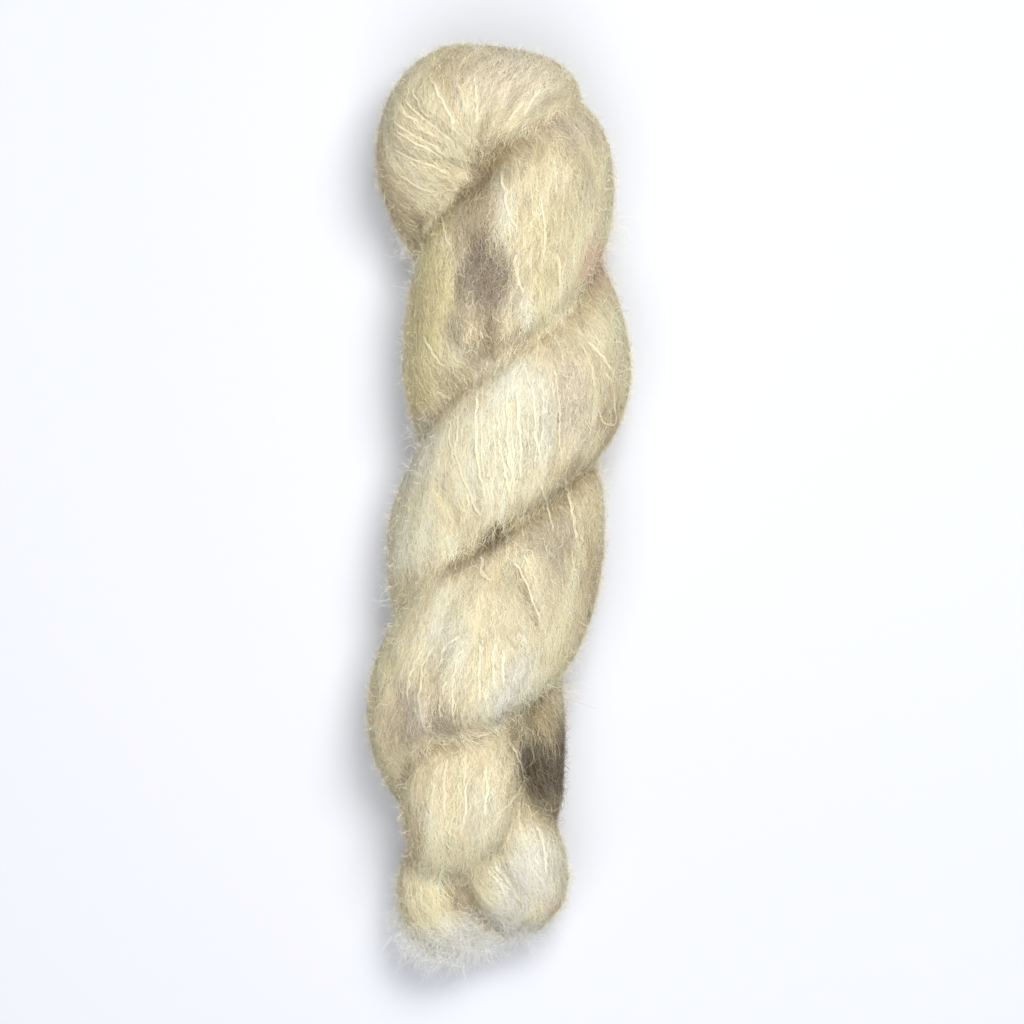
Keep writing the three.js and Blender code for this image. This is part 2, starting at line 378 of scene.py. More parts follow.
# Soft troughs and creases run where the bundles part. Columns: across, down from the head's end,
# half width and depth.
TROUGHS = [
    # the dark stripe
    [[-5.5, 34, 4, 0.6], [-5.5, 50, 5.5, 2.2], [-4.5, 68, 6, 2.8], [-3, 84, 5, 1.6]],
    # inside the straw strip
    [[-14, 54, 2, 0.4], [-12, 66, 2, 1.3], [-14, 80, 2.5, 1.4], [-17, 100, 2.5, 0.8]],
    [[-0.5, 56, 2, 0.3], [6, 67, 2, 0.9], [7, 77, 2, 0.5]],
    # folds at the eye
    [[-19, 4, 2.5, 0.4], [-14.5, 14.5, 2, 1.8], [-11, 22, 1.8, 2], [-7.5, 29, 1.6, 1.2]],
    [[-9, 33, 1.6, 1.1], [-20, 25, 2, 1.9], [-30, 17, 2, 0.5]],
    [[-8, 38, 1.6, 1], [-19, 36, 2, 1.6], [-31, 33, 2.5, 0.5]],
    [[-8, 35, 1.4, 0.8], [-19, 30.5, 1.6, 1.2], [-30, 25, 1.6, 0.4]],
    [[2, 10, 2, 0.4], [-1, 20, 1.8, 2], [-4.5, 29, 1.8, 1.4]],
    [[11, 10, 2, 0.5], [4.5, 20, 1.8, 1.9], [0, 27, 1.6, 1.3]],
    # behind the shoulder
    [[9.5, 30, 1.6, 0.5], [12.5, 35, 1.8, 0.8], [13.5, 42, 2, 0.3]],
    [[23, 29, 1.8, 0.5], [27.5, 35, 2, 0.8], [29.5, 43, 2, 0.3]],
    # the second bundle in the third band
    [[24, 87, 1.6, 0.6], [29, 92.5, 1.6, 1], [31.5, 100, 2, 0.4]],
    [[18, 94, 2, 0.3], [18.5, 108, 2.5, 1.2], [18, 128, 3, 0.5]],
    [[-18, 131, 1.8, 0.4], [-15.5, 135.5, 2, 1], [-12.5, 141, 2, 0.4]],
    [[-10, 126, 2.5, 0.3], [-7, 140, 3, 0.9], [-2, 150, 2.5, 0.4]],
    # the fan of the fourth band
    [[3, 151, 1.8, 0.6], [8.5, 164, 2, 1.4], [12, 173, 2, 0.5]],
    [[0, 172, 1.8, 0.3], [6.5, 179, 2, 1], [11, 185, 2, 0.3]],
    [[-13, 176, 2, 0.3], [-18.5, 191, 2, 1.2], [-18, 204, 2, 0.6]],
    [[-32, 184, 1.8, 0.3], [-31, 193, 2, 0.9], [-28, 201, 2, 0.4]],
    # the leg on top
    [[-14, 216, 2, 0.3], [-13, 232, 2.5, 0.7]],
    [[-28, 224, 2, 0.4], [-27, 233, 2, 0.9], [-23.5, 240.5, 2, 0.4]],
    # the right leg
    [[14, 240, 2.5, 0.3], [13, 255, 3, 1]],
    # the lobe in front
    [[-1.5, 243.5, 1.8, 0.3], [3, 249.5, 2, 0.5], [6, 256, 2, 0.3]],
    # the lobe at the left
    [[-16, 249, 2, 0.5], [-12, 258, 2.2, 1.2], [-9.5, 264, 2, 0.5]],
    [[-24, 249, 2, 0.3], [-23, 258, 2, 0.9], [-19.5, 265, 2, 0.4]],
]
TROUGH_STEPS = 5


def trough_depth(places):
    """How deep the troughs are at some places."""
    beside, down = from_head(places)
    depth = np.zeros(len(places))
    for rows in TROUGHS:
        for x, y, wide, deep in smooth_through(np.array(rows, float), TROUGH_STEPS):
            depth = np.maximum(depth, deep * np.exp(-((beside - x) ** 2 + (down - y) ** 2) / wide**2))
    return depth


# Matted fibres bridge the grooves at a few places, where less painted shade is laid. Columns: across,
# down, reach, how much of the painted groove shade goes and how much the groove is filled.
BRIDGED = [
    (-10, 40, 4.5, 0.5, 1.5), (-15, 47, 5, 0.8, 2.6), (-20, 54, 5, 0.8, 2.6),
    (-24, 58, 4, 0.5, 1.5), (-19, 160, 5, 0.5, 0.9), (-26, 163.5, 5, 0.6, 0.9),
    (-9, 252, 6, 0.55, 0), (3, 245, 7, 0.8, 0.5), (10, 27, 6, 0.4, 0.6), (20, 21, 6, 0.45, 0.6),
    (18, 80, 6, 0.4, 0.4), (-5, 206, 6, 0.45, 0.4), (8, 238, 6, 0.7, 0.6),
]


def bridge_height(places):
    """How far matted fibres fill the grooves at some places."""
    beside, down = from_head(places)
    height = np.zeros(len(places))
    for x, y, reach, _, filled in BRIDGED:
        height = np.maximum(height, filled * np.exp(-((beside - x) ** 2 + (down - y) ** 2) / reach**2))
    return height


# How the yarn runs where it strays from the lay of its bundle. Columns: across, down, reach, and
# degrees from straight down, above 0 to the right.
STRAY_LIES = [
    (-20, 85, 10, 24), (-22, 106, 10, 30), (-10, 98, 7, 22), (15, 60, 14, 0), (26, 88, 7, 34),
    (32, 106, 8, 8), (20, 100, 8, 10), (4, 115, 14, 3), (-9, 132, 9, 20), (-22, 140, 12, 8),
    (7, 165, 10, 28), (18, 158, 8, 16), (-2, 184, 10, 4), (-20, 182, 11, -14), (-28, 196, 8, -6),
    (-17, 207, 5, 70), (-5, 206, 5, 100), (8, 196, 6, 30), (-8, 220, 10, 0), (5, 222, 5, -22),
    (-24, 226, 6, -6), (-13, 238, 5, 24), (-26, 254, 7, 4), (-14, 255, 6, 30), (1, 248, 8, 38),
    (14, 240, 8, 8), (15, 210, 8, 16),
]


def stray(places, runs, normals):
    """The ways that the yarn runs, turned where it strays on the upper side."""
    beside, down = from_head(places)
    total, weight = np.zeros_like(places), np.zeros(len(places))
    for x, y, reach, degrees in STRAY_LIES:
        near = np.exp(-((beside - x) ** 2 + (down - y) ** 2) / reach**2)
        turn = math.radians(degrees)
        total += near[:, None] * [math.sin(turn), -math.cos(turn), 0]
        weight += near
    share = (np.clip(weight, 0, 1) * np.clip(normals[:, 2] / 0.4, 0, 1))[:, None]
    return unit(runs * (1 - share) + total / np.maximum(weight, 1e-9)[:, None] * share)


across, along, runs = lay_at(points)
runs = unit(spread(runs, 2))
normals = point_normals()
upper = np.clip(normals[:, 2] / 0.3, 0, 1)
bent_in = np.clip(((spread(points, 12) - points) * normals).sum(1) / 0.6, 0, 1)
points += normals * ((bridge_height(points) * bent_in - trough_depth(points)) * upper)[:, None]
crease = ((spread(points, 12) - points) * point_normals()).sum(1)  # above 0 in the grooves
hollow = ((spread(points, 60) - points) * point_normals()).sum(1)
runs = stray(points, runs, point_normals())

# The turns of yarn press into soft ridges, and bunch here and there.
RIDGE = 0.4
BUNCH = 1.5
ridges = streaks(across, along, 4, 30, 1) - 0.5
bunches = streaks(across, along, 11, 60, 2) - 0.5
points += point_normals() * (RIDGE * ridges + BUNCH * bunches)[:, None]
points[:, 2] = np.maximum(points[:, 2], 0)
normals = point_normals()

# The yarn is dyed by hand, so a colour starts and ends a little further on at each turn. Some places
# are painted shade and not dye: dark lines along the grooves and creases, the pit, the low edge of the
# left lobe and, with its dye, the dark strand low at the right. Some of the white places and a few
# pale ones are painted highlights, and at the foot painted light against its shade. Columns: across,
# down, half width and half length of a place, its lean in degrees, the dye or painted light and how
# strongly it took.
CREAM = (0.92, 0.82, 0.57)
DYES_AND_PAINTED_LIGHT = {
    "white": (0.93, 0.91, 0.80),
    "pale": (0.95, 0.89, 0.69),
    "straw": (0.83, 0.73, 0.38),
    "tan": (0.64, 0.52, 0.31),
    "olive": (0.42, 0.34, 0.17),
    "grey_brown": (0.28, 0.215, 0.165),
    "brown": (0.32, 0.23, 0.13),
    "lilac": (0.68, 0.59, 0.50),
    "umber": (0.11, 0.078, 0.045),
    "pink": (0.84, 0.59, 0.43),
}
DYED_AND_PAINTED_LIGHT_PLACES = [
    (-12, 8, 8, 7, 0, "tan", 0.6),
    (4, 9, 15, 9, 0, "lilac", 0.5),
    (-31, 48, 6, 12, 0, "tan", 0.5),
    # painted shade with some dye: the low edge of the left lobe
    (-26, 57, 6, 9, 20, "olive", 0.45),
    # painted shade: the crease by the shoulder and the pit
    (8, 27, 2.2, 11, 65, "brown", 0.5),
    (-1.5, 31.5, 5, 6, 50, "brown", 0.25),
    (-6, 41, 4.5, 10, 4, "brown", 0.6),
    (22, 25, 9, 5, 0, "lilac", 0.5),
    (15, 32, 9, 6, 0, "tan", 0.5),
    (8, 48, 5.5, 11, 0, "tan", 0.3),
    (-8, 54, 5.5, 10, -10, "brown", 0.6),
    (-3, 70, 8.5, 14, -10, "grey_brown", 0.85),
    (1.5, 65, 3, 8, -10, "grey_brown", 0.4),
    (-11, 72, 1.2, 12, -8, "umber", 0.45),
    (2, 47, 2.6, 8, -8, "white", 0.6),
    (8.5, 78, 2.5, 8, -12, "white", 0.5),
    # painted shade: a thin dark line along the groove below the stripe
    (5, 86.5, 1.1, 9, 62, "brown", 0.7),
    (-4, 85, 9, 7, 0, "tan", 0.5),
    (-6, 92, 4, 8, 30, "brown", 0.6),
    (-2, 86, 3.5, 9, -8, "brown", 0.8),
    (-20.5, 80, 6.5, 30, 6, "straw", 0.8),
    (-12.8, 84.5, 2.8, 7, -20, "grey_brown", 0.55),
    # painted shade with some dye: near the groove below the straw strip
    (-11, 100, 5, 4, 40, "olive", 0.6),
    (-19, 100, 6, 7, 20, "olive", 0.35),
    (-24, 113, 7, 6, 0, "tan", 0.5),
    # painted light, lighter against the shade of the left side
    (-26, 148, 9, 12, 20, "pale", 0.8),
    (13, 62, 6, 20, 0, "straw", 0.3),
    (28.5, 64, 4, 8, 0, "pink", 0.8),
    (27.5, 73, 4, 5, 0, "tan", 0.25),
    (20, 83, 2.5, 8, 60, "tan", 0.3),
    (16, 93, 4, 8, 50, "tan", 0.35),
    (2, 115, 15, 24, 14, "pale", 0.75),
    # painted highlight on the bulge
    (5, 98, 8, 7, 0, "white", 0.6),
    (-23, 122, 5, 14, 20, "white", 0.6),
    (14, 110, 4, 14, 0, "white", 0.5),
    (22, 105, 5, 15, -8, "lilac", 0.6),
    (33.5, 110, 4, 12, 0, "tan", 0.5),
    (22, 126, 10, 5, 0, "tan", 0.55),
    # painted shade: the lower edge of the band and the groove under it, darkest at its middle
    (-11, 139, 4, 7, 60, "tan", 0.4),
    (10, 138.5, 2.5, 13, 56, "olive", 0.5),
    (-1, 147, 3.6, 6, 50, "umber", 0.8),
    (-3, 156, 5, 8, 0, "tan", 0.5),
    # painted shade along the groove
    (-11.5, 154.5, 3, 6.5, 65, "brown", 0.7),
    (15.5, 147, 7, 8, -20, "grey_brown", 0.5),
    (27.5, 155, 3.5, 22, 0, "tan", 0.55),
    (7.5, 162, 1.5, 11, -22, "brown", 0.45),
    (-29, 160, 4, 6, 20, "tan", 0.4),
    # painted highlights on the bulge
    (-6, 178, 16, 18, 0, "pale", 0.2),
    (-14, 176, 6, 10, 0, "white", 0.55),
    (4, 190, 6.5, 13, 27, "white", 0.75),
    (-20, 202, 5, 11, 80, "grey_brown", 0.5),
    (-24, 198, 6, 8, 60, "lilac", 0.6),
    # painted shade in the crease
    (-15, 209, 1.3, 12, 72, "olive", 0.5),
    (-17.8, 196, 2.4, 9, 0, "brown", 0.5),
    (-29, 197, 4, 10, 0, "lilac", 0.6),
    (-8, 206, 3, 6, 80, "lilac", 0.25),
    (-17, 217, 7, 8, 0, "tan", 0.3),
    (-31, 203, 5, 13, 0, "tan", 0.55),
    # the dark strand low at the right: its dye with painted shade, and the dark line along its left edge
    (13, 213, 10, 18, -12, "olive", 0.9),
    (13.5, 216, 7, 13, -15, "grey_brown", 0.9),
    (12.5, 216, 5.5, 11, -18, "umber", 0.85),
    (20, 214, 2.5, 18, -3, "umber", 0.75),
    (9.5, 214, 1.6, 13, -22, "umber", 0.45),
    (17, 228, 2.2, 6, -10, "grey_brown", 0.8),
    (-26, 234, 4, 9, 0, "tan", 0.5),
    (-8, 222, 13, 14, 0, "tan", 0.12),
    (16, 229, 4, 8, -25, "olive", 0.45),
    # painted highlights on the lobe in front
    (11, 246, 9, 12, 0, "white", 0.8),
    (3, 249, 5, 7, 0, "white", 0.7),
    (4.5, 256.5, 4.5, 4, 0, "white", 0.7),
    (16, 256, 3, 2.5, 0, "pink", 0.5),
    (-20, 255, 7, 10, 0, "straw", 0.3),
    (-11.5, 254, 3, 7.5, -10, "lilac", 0.3),
    # painted light at the foot, lighter against its shade
    (-16, 271, 15, 7, 0, "white", 0.95),
    (4, 267, 12, 5, 0, "white", 0.7),
    (-11, 247, 3.5, 2.5, 0, "brown", 0.2),
    (-5, 227, 5, 9, 0, "white", 0.4),
    # painted light at the foot, lighter against its shade
    (-2, 262, 15, 5, 0, "white", 0.8),
]
PLACE_RAGGED = 0.22  # how far a listed place's edge wanders from turn to turn, of its size
FRONT = 14  # the height at which the listed places end, and over which they fade into the plain back
FADE = 12
# The colour that the painted shade in the grooves tends to.
GROOVE_SHADE = (0.33, 0.225, 0.065)


def dye_and_painted_light(places, across, along, groove_shade):
    """The yarn's colour at some places: its dye, with the painted shade in the grooves and the painted
    light of the listed places.
    """
    beside, down = from_head(places)
    ragged = streaks(across, along, 0.9, 30, 3) + streaks(across, along, 3, 22, 4) - 1
    low = np.interp(down, [235, 262], [FRONT, 3])
    front = np.clip((places[:, 2] - low) / FADE, 0, 1)[:, None]
    colour = np.tile(CREAM, (len(places), 1))
    for name, level, strength in (("straw", 0.5, 0.4), ("lilac", 0.6, 0.35), ("tan", 0.6, 0.4)):
        broad = streaks(across, along, 14, 70, 5 + len(name))
        share = np.clip((broad - level) * 3, 0, 1)[:, None] * strength
        colour = colour * (1 - share) + np.array(DYES_AND_PAINTED_LIGHT[name]) * share
    for x, y, wide, long, lean, name, strength in DYED_AND_PAINTED_LIGHT_PLACES:
        turn = math.radians(lean)
        right, fall = beside - x, down - y
        u = (right * math.cos(turn) + fall * math.sin(turn)) / wide
        v = (fall * math.cos(turn) - right * math.sin(turn)) / long
        inside = np.clip((1.4 - np.hypot(u, v) + PLACE_RAGGED * 2 * ragged) / 0.95, 0, 1)
        inside = (inside * inside * (3 - 2 * inside))[:, None] * strength * front
        colour = colour * (1 - inside) + np.array(DYES_AND_PAINTED_LIGHT[name]) * inside
    return colour * (1 - groove_shade[:, None]) + colour * np.array(GROOVE_SHADE) / CREAM * groove_shade[:, None]


def mesh_piece(name, points, faces, colours, uv=None):
    """An object of that mesh, in metres, its points coloured with dye and painted light."""
    mesh = bpy.data.meshes.new(name)
    mesh.vertices.add(len(points))
    mesh.vertices.foreach_set("co", (points * MM).astype(np.float32).ravel())
    mesh.loops.add(faces.size)
    mesh.loops.foreach_set("vertex_index", faces.astype(np.int32).ravel())
    mesh.polygons.add(len(faces))
    mesh.polygons.foreach_set("loop_start", np.arange(len(faces), dtype=np.int32) * faces.shape[1])
    mesh.polygons.foreach_set("use_smooth", np.ones(len(faces), bool))
    dyed_and_painted_light = mesh.color_attributes.new("dye_and_painted_light", "FLOAT_COLOR", "POINT")
    colours = np.hstack([colours, np.ones((len(points), 1))])
    dyed_and_painted_light.data.foreach_set("color", colours.astype(np.float32).ravel())
    if uv is not None:
        layer = mesh.uv_layers.new(name="OFBake")
        layer.uv.foreach_set("vector", uv.astype(np.float32).ravel())
    mesh.update(calc_edges=True)
    mesh.validate()
    piece = bpy.data.objects.new(name, mesh)
    bpy.context.scene.collection.objects.link(piece)
    return piece


# The yarn is painted darker in the grooves, as painted shade. Columns: how deep it is darkest, and how
# dark.
IN_CREASE = (0.8, 0.6)
IN_HOLLOW = (3.8, 0.25)
groove_shade = np.clip(crease / IN_CREASE[0], 0, 1) * IN_CREASE[1]
groove_shade += np.clip(hollow / IN_HOLLOW[0], 0, 1) * IN_HOLLOW[1]
beside, down = from_head(points)
for x, y, reach, amount, _ in BRIDGED:
    groove_shade *= 1 - amount * np.exp(-((beside - x) ** 2 + (down - y) ** 2) / reach**2)
body_colour = dye_and_painted_light(points, across, along, groove_shade)
body = mesh_piece("skein_body", points, faces, body_colour)
# Each point keeps the lie of the yarn, with its painted groove shade as the third value.
lie = np.stack([across, along, groove_shade], axis=1)
lie_of_points = body.data.attributes.new("lie", "FLOAT_VECTOR", "POINT")
lie_of_points.data.foreach_set("vector", lie.astype(np.float32).ravel())


def wire(tree, kind, settings=None, **inputs):
    """A shader node, with its settings and with what its inputs take."""
    node = tree.nodes.new(kind)
    for name, value in (settings or {}).items():
        setattr(node, name, value)
    for name, value in inputs.items():
        socket = node.inputs[int(name[1:]) if name[1:].isdigit() else name.replace("_", " ")]
        if isinstance(value, bpy.types.NodeSocket):
            tree.links.new(value, socket)
        else:
            socket.default_value = value
    return node


def new_material(name):
    """An empty material and its node tree."""
    material = bpy.data.materials.new(name)
    material.use_nodes = True
    tree = material.node_tree
    tree.nodes.clear()
    return material, tree


def matted_mohair():
    """Turns of yarn under matted fibres: soft streaks down the lie of the yarn, and curls over them."""
    material, tree = new_material("matted_mohair")
    dyed_and_painted_light = wire(tree, "ShaderNodeAttribute", {"attribute_name": "dye_and_painted_light"}).outputs["Color"]
    lie = wire(tree, "ShaderNodeAttribute", {"attribute_name": "lie"}).outputs["Vector"]

    def calc(operation, a, b=0.0, c=0.0):
        return wire(tree, "ShaderNodeMath", {"operation": operation}, _0=a, _1=b, _2=c).outputs[0]

    def streak(wide, long, detail, distortion):
        scaled = wire(tree, "ShaderNodeVectorMath", {"operation": "MULTIPLY"}, _0=lie,
                      _1=(1 / wide, 1 / long, 0.0)).outputs[0]
        return wire(tree, "ShaderNodeTexNoise", {"noise_dimensions": "3D"}, Vector=scaled, Scale=1.0,
                    Detail=detail, Roughness=0.6, Distortion=distortion).outputs["Fac"]

    turns = calc("MULTIPLY", streak(2.4, 34.0, 1.5, 0.25), 0.4)
    combed = calc("MULTIPLY_ADD", streak(0.7, 13.0, 2.0, 0.5), 0.35, turns)
    fibres = calc("MULTIPLY_ADD", streak(0.5, 2.2, 1.0, 0.9), 0.25, combed)

    def curls(wide, long, distortion):
        off_middle = calc("ABSOLUTE", calc("SUBTRACT", streak(wide, long, 0.0, distortion), 0.5))
        return calc("SUBTRACT", 1.0, calc("MINIMUM", calc("MULTIPLY", off_middle, 18.0), 1.0))

    crossed = calc("MAXIMUM", curls(1.6, 3.4, 0.8), curls(1.1, 2.3, 1.2))
    fibres = calc("MULTIPLY_ADD", crossed, 0.09, calc("SUBTRACT", fibres, 0.03))
    light = wire(tree, "ShaderNodeMapRange", {}, Value=fibres, From_Min=0.38, From_Max=0.62, To_Min=0.6,
                 To_Max=1.0).outputs[0]
    colour = wire(tree, "ShaderNodeVectorMath", {"operation": "SCALE"}, _0=dyed_and_painted_light, Scale=light).outputs[0]
    bump = wire(tree, "ShaderNodeBump", {}, Strength=0.5, Distance=0.4 * MM, Height=fibres).outputs[0]
    shader = wire(tree, "ShaderNodeBsdfPrincipled", {}, Base_Color=colour, Roughness=0.95,
                  Specular_IOR_Level=0.2, Sheen_Weight=0.1, Sheen_Roughness=0.5, Normal=bump)
    shader.inputs["Sheen Tint"].default_value = (1.0, 0.96, 0.86, 1.0)
    wire(tree, "ShaderNodeOutputMaterial", {}, Surface=shader.outputs[0])
    return material


body.data.materials.append(matted_mohair())
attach(body, "root")
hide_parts("hank")

# Turns of yarn lie on the body. Each is a fine wavy thread of a few strands of mohair, laid beside
# its neighbours as the skein was wound, that shows for a few centimetres between the brushed
# fibres and dives under them again.
body_tree = BVHTree.FromPolygons(points.tolist(), faces.tolist())
face_runs = unit(runs[faces].mean(1))
face_normals = unit(normals[faces].mean(1))


def scattered(count, seed, sides=1.0):
    """Places spread over the body, apart from where it rests, the faces they are on, and how they
    lie. The body's sides take that many times as many."""
    rng = np.random.default_rng(seed)
    p = points[faces]
    size = np.linalg.norm(np.cross(p[:, 2] - p[:, 0], p[:, 3] - p[:, 1]), axis=1)
    facing = face_normals[:, 2]
    wanted = np.where(facing < -0.5, 0.3, np.where(facing < 0.45, sides, 1.0))
    wanted = wanted * (p[:, :, 2].mean(1) > 0.6)
    chance = size * wanted
    face = rng.choice(len(faces), size=count, p=chance / chance.sum())
    u, v = rng.random((2, count, 1))
    shares = np.stack([(1 - u) * (1 - v), u * (1 - v), u * v, (1 - u) * v], axis=1)
    corners = faces[face]
    return (points[corners] * shares).sum(1), face, (lie[corners] * shares).sum(1)


def walked(spot, face, headings, pace):
    """Paths over the body from some spots: at each step they turn by a heading from the lie of the
    yarn. Returns the places, the ways out from the body there, and the faces."""
    places, faces_met = [spot], [face]
    for k in range(headings.shape[1]):
        flow, out = face_runs[face], face_normals[face]
        flow = unit(flow - out * (flow * out).sum(1, keepdims=True))
        aside = np.cross(out, flow)
        turn = headings[:, k:k + 1]
        step = (flow * np.cos(turn) + aside * np.sin(turn)) * pace[:, None]
        spot, face = nearest(body_tree, spot + step)
        places.append(spot)
        faces_met.append(face)
    faces_met = np.stack(faces_met, axis=1)
    return np.stack(places, axis=1), face_normals[faces_met], faces_met


def thread_piece(name, paths, half_wide, facing, colours):
    """Flat threads with pointed ends along some paths, all of as many points, facing as told. Each
    has a cell of its own in the UV map."""
    count, steps = paths.shape[:2]
    side = unit(np.cross(unit(np.gradient(paths, axis=1)), facing)) * half_wide[..., None]
    edges = np.stack([paths + side, paths - side], axis=2)[:, 1:-1].reshape(count, -1, 3)
    points = np.concatenate([paths[:, :1], edges, paths[:, -1:]], axis=1)
    points[..., 2] = np.maximum(points[..., 2], 0.05)
    edge_colours = np.repeat(colours[:, 1:-1], 2, axis=1)
    colours = np.concatenate([colours[:, :1], edge_colours, colours[:, -1:]], axis=1)

    last = 2 * steps - 3
    at = [(0.5, 0.0), *[(x, (k + 1) / steps) for k in range(steps - 2) for x in (0.0, 1.0)], (0.5, 1.0)]
    one = [(0, 2, 1)]
    for k in range(1, last - 2, 2):
        one += [(k, k + 1, k + 3), (k, k + 3, k + 2)]
    one.append((last - 2, last - 1, last))
    triangles = np.array(one)[None] + (np.arange(count) * points.shape[1])[:, None, None]
    cells = math.ceil(math.sqrt(count))
    cell = np.stack([np.arange(count) % cells, np.arange(count) // cells], axis=1)
    uv = (np.array(at)[np.array(one)] * 0.9 + 0.05)[None] + cell[:, None, None]
    points, triangles, colours = [v.reshape(-1, 3) for v in (points, triangles, colours)]
    return mesh_piece(name, points, triangles, colours, uv / cells)


def wander(rng, count, steps, turns, size):
    """Smooth random waves, a row for each thread."""
    share = np.linspace(0, 1, steps)
    total = np.zeros((count, steps))
    for k in range(1, 4):
        phase = rng.random((count, 1)) * 2 * math.pi
        rate = turns * k * rng.uniform(0.6, 1.4, (count, 1))
        total += rng.normal(0, size / k**0.5, (count, 1)) * np.sin(2 * math.pi * rate * share + phase)
    return total


# Places where the turns stand clear of the fibres. Columns: across, down, reach and how clear.
CLEAR_TURNS = [
    (-20, 28, 12, 0.8), (0, 14, 10, 0.7), (3, 120, 17, 1.0), (26, 98, 10, 0.8), (12, 168, 12, 0.6),
    (-6, 184, 12, 0.6), (-8, 222, 14, 0.6), (2, 249, 8, 0.8), (-20, 256, 9, 0.6), (-22, 96, 10, 0.5),
    (18, 62, 10, 0.4), (-14, 66, 6, 0.5),
]
CLEAR_ELSEWHERE = 0.5
TURNS_APART = 1.9
TRIED = 3000  # turns that are tried, to find those that lie side by side
TURN_STRANDS = 2
STANDING_STRANDS = 5
TURN_SPREAD = 0.22  # how far a turn's strands lie apart
STANDING_SPREAD = 0.27
BRIGHT_TURN = (0.97, 0.93, 0.73)
# The turns that stand out most, by places that they run through, across and down from the head.
STANDING_TURNS = [
    [(-31.5, 25), (-25.5, 29.5), (-19, 32.5), (-14, 36), (-11, 38.5)],
    [(-30.5, 17.5), (-25.5, 23), (-20.5, 27), (-17.5, 29.5)],
    [(-25.5, 13), (-22.5, 19.5), (-19, 23)],
    [(-20, 10.5), (-16.5, 18), (-13, 25)],
    [(-32, 21.5), (-26.5, 26.5), (-20, 30), (-14, 34)],
    [(-32.5, 30), (-26, 34), (-19, 37), (-13, 40)],
    [(-28.5, 15.5), (-23.5, 21.5), (-17, 26.5), (-12, 30.5)],
    [(-14, 8), (-10.5, 16), (-8.5, 24)],
    [(-7, 9), (-6.5, 17), (-6.5, 26)],
    [(-30, 38), (-24, 42), (-18, 44.5)],
    [(17, 62), (18, 72), (17, 82)],
    [(12, 45), (13.5, 55), (13, 66)],
    [(-2.5, 19.5), (-4.5, 26), (-6, 29.5)],
    [(8.5, 17), (3.5, 23), (1.5, 26)],
    [(13.5, 13), (8.5, 19.5), (7.5, 23)],
    [(1, 37.5), (2.5, 45.5), (3.5, 51.5), (7, 57.5)],
    [(5.5, 62.5), (5, 67.5), (7.5, 76)],
    [(-16, 49.5), (-15, 57.5), (-12.5, 64), (-12, 70)],
    [(-22.5, 86), (-19, 92), (-15.5, 97)],
    [(-18.5, 103), (-13.5, 106)],
    [(-13.5, 111.5), (-14, 118), (-12.5, 123.5)],
    [(-10.5, 107.5), (-11.5, 115.5), (-12, 123), (-9.5, 130.5), (-5.5, 139.5), (-3.5, 142.5)],
    [(-5.5, 101), (-6, 110.5), (-6, 120.5), (-5, 128), (-3.5, 133)],
    [(0, 104), (0, 113), (1, 123), (2.5, 130.5), (3, 138)],
    [(3, 101.5), (3, 115.5), (3.5, 125.5), (4.5, 130.5), (4, 138)],
    [(5.5, 103), (6, 110.5), (7, 123)],
    [(7.5, 95), (9.5, 101), (11, 108), (11, 115.5), (12.5, 123), (13.5, 128)],
    [(16.5, 95.5), (17.5, 103), (18, 110.5), (18, 118), (18.5, 124.5)],
    [(23.5, 88), (27, 95.5), (28.5, 104), (29, 110.5)],
    [(26, 88.5), (31, 94), (34, 99), (36, 102.5)],
    [(31, 97), (33.5, 101.5), (34, 107.5), (34.5, 112.5), (33.5, 113.5), (30.5, 112.5), (30, 108)],
    [(-4.5, 152), (-4.5, 157), (-1.5, 161)],
    [(1.5, 152), (6.5, 157), (10.5, 167), (12.5, 173.5)],
    [(-11.5, 176), (-15.5, 180), (-17.5, 186.5)],
    [(-14.5, 189), (-16.5, 194), (-16.5, 201.5)],
    [(-5, 178), (-5.5, 187.5), (-5.5, 197.5)],
    [(-1.5, 179.5), (-1.5, 186.5), (-1, 192.5)],
    [(-22, 180), (-25.5, 188), (-26.5, 197)],
    [(-18.5, 178), (-22, 187), (-22.5, 199), (-20.5, 206)],
    [(-11, 180), (-13, 190), (-13, 203)],
    [(12, 130), (14, 137), (16.5, 146)],
    [(19, 128), (21.5, 138), (23, 149)],
    [(-4, 214), (-3.5, 222), (-4.5, 231)],
    [(-15, 212), (-16, 221), (-15.5, 232)],
    [(11, 232), (13.5, 240), (14, 249)],
    [(1.5, 179.5), (1.5, 192.5)],
    [(-9.5, 210.5), (-10, 218), (-9.5, 226), (-10.5, 233), (-12, 237)],
    [(2.5, 206), (6.5, 216), (6.5, 221), (4.5, 224), (1.5, 227.5), (-1.5, 230.5)],
    [(-1.5, 244.5), (2.5, 248.5), (5.5, 253), (8, 256.5)],
    [(-3.5, 245.5), (0.5, 250.5), (4, 255.5)],
    [(-17.5, 247), (-14, 252), (-12.5, 255)],
    [(-23, 250.5), (-22.5, 257), (-21, 260.5)],
]


def clear_of_fibres(places):
    """How clear of the fibres the turns stand at some places, up to 1."""
    beside, down = places[..., 0], TOP_END - places[..., 1]
    clear = np.full(beside.shape, CLEAR_ELSEWHERE)
    for x, y, reach, amount in CLEAR_TURNS:
        near = np.exp(-((beside - x) ** 2 + (down - y) ** 2) / reach**2) * (places[..., 2] > 20)
        clear = np.maximum(clear, amount * near)
    return clear


def side_by_side(places, limit):
    """Which of some threads lie clear of the ones before them, up to a number of threads."""
    taken, kept = set(), []
    for k, cells in enumerate(np.floor(places / TURNS_APART).astype(int).tolist()):
        cells = {tuple(cell) for cell in cells}
        if len(cells & taken) <= 0.2 * len(cells):
            taken |= cells
            kept.append(k)
        if len(kept) == limit:
            break
    return np.array(kept)


